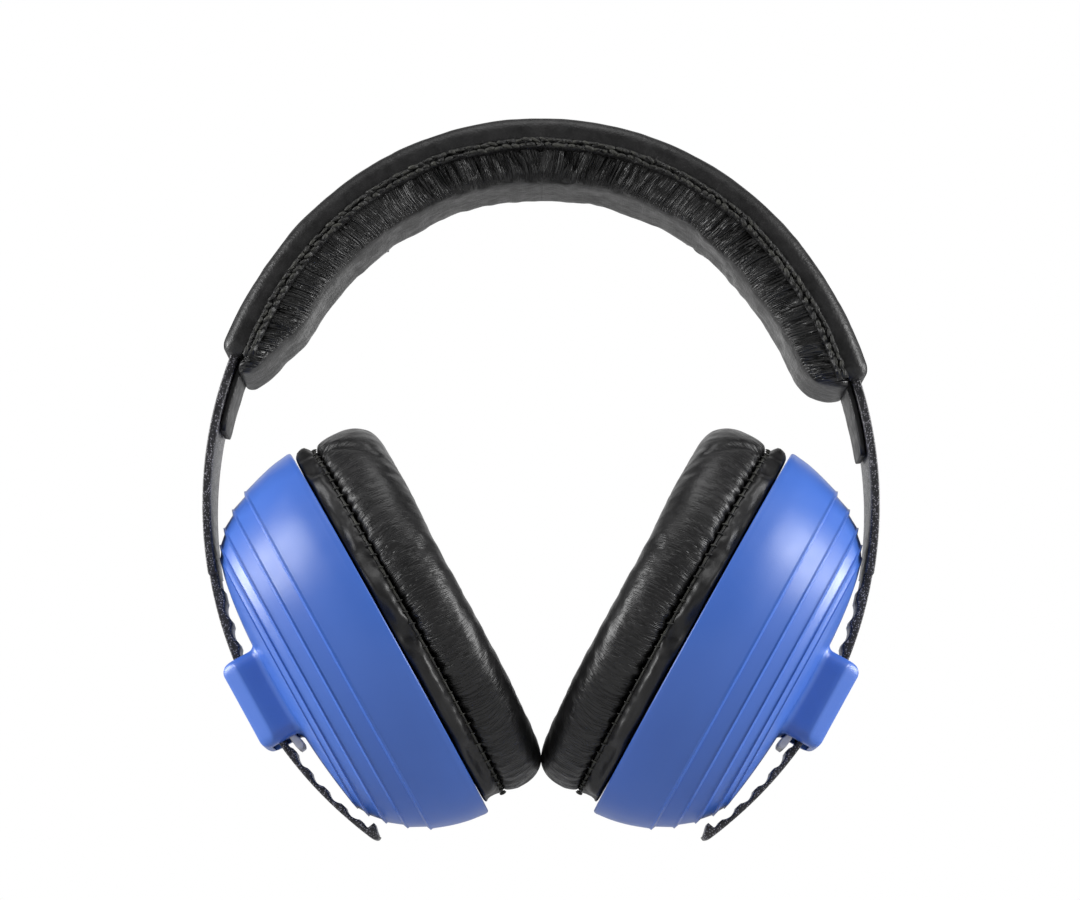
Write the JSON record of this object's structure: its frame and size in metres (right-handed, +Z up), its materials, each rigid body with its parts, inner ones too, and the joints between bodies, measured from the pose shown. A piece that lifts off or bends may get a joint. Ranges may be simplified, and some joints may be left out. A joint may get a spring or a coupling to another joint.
{
  "type": "hearing protection earmuffs",
  "caption": "Children's over-head hearing protection earmuffs: padded sprung headband, notched band arms, and stepped oval ear cups with leatherette cushions that slide up the arms.",
  "frame": {"origin": "centre of the headband pad's underside, where it sits on the crown of the head", "axes": "+X towards the wearer's one side, along the line between the cups; +Y front to back; +Z up along the headband's middle plane"},
  "size_m": [0.1584, 0.075, 0.1698],
  "materials": {
    "band_plastic": "satin",
    "leatherette": "satin",
    "foam": "matte",
    "thread": "matte",
    "scrim_cloth": "matte",
    "inner_plastic": "matte",
    "clip_plastic": "satin",
    "shell_plastic": "satin"
  },
  "bodies": {
    "headband": {"headband_strip_crown": "band_plastic", "headband_outer_cover": "leatherette", "headband_pad_cover": "leatherette", "headband_pad_foam": "foam", "headband_welt_front": "leatherette", "headband_welt_rear": "leatherette", "headband_stitching": "thread"},
    "left_arm": {"left_band_arm": "band_plastic", "left_sleeve_tab": "leatherette"},
    "left_slider": {"left_retaining_clip": "clip_plastic"},
    "left_cup": {"left_cup_shell": "shell_plastic", "left_acoustic_foam": "foam", "left_foam_scrim": "scrim_cloth", "left_seal_plate": "inner_plastic", "left_cushion_skirt": "leatherette", "left_cushion_cover": "leatherette", "left_cushion_foam": "foam", "left_cushion_seam": "thread"},
    "right_arm": {"right_band_arm": "band_plastic", "right_sleeve_tab": "leatherette"},
    "right_slider": {"right_retaining_clip": "clip_plastic"},
    "right_cup": {"right_cup_shell": "shell_plastic", "right_acoustic_foam": "foam", "right_foam_scrim": "scrim_cloth", "right_seal_plate": "inner_plastic", "right_cushion_skirt": "leatherette", "right_cushion_cover": "leatherette", "right_cushion_foam": "foam", "right_cushion_seam": "thread"}
  },
  "joints": [
    {"name": "left_arm_flex", "type": "hinge", "parent": "headband", "child": "left_arm", "pos_m": [-0.07307, 0, -0.04185], "axis": [0, 1, 0], "range_deg": [0, 30], "stiffness_Nm_per_rad": 1.1, "springref_deg": -3.44},
    {"name": "left_cup_height", "type": "hinge", "parent": "left_arm", "child": "left_slider", "pos_m": [0.01835, 0, -0.07603], "axis": [0, 1, 0], "range_deg": [0, 11]},
    {"name": "left_cup_rock", "type": "hinge", "parent": "left_slider", "child": "left_cup", "pos_m": [-0.06353, 0, -0.12179], "axis": [0, 1, 0], "range_deg": [0, 2]},
    {"name": "right_arm_flex", "type": "hinge", "parent": "headband", "child": "right_arm", "pos_m": [0.07503, 0, -0.04766], "axis": [0, -1, 0], "range_deg": [0, 30], "stiffness_Nm_per_rad": 1.1, "springref_deg": -3.44},
    {"name": "right_cup_height", "type": "hinge", "parent": "right_arm", "child": "right_slider", "pos_m": [-0.01835, 0, -0.07603], "axis": [0, -1, 0], "range_deg": [0, 11]},
    {"name": "right_cup_rock", "type": "hinge", "parent": "right_slider", "child": "right_cup", "pos_m": [0.06353, 0, -0.12179], "axis": [0, -1, 0], "range_deg": [0, 2]}
  ]
}
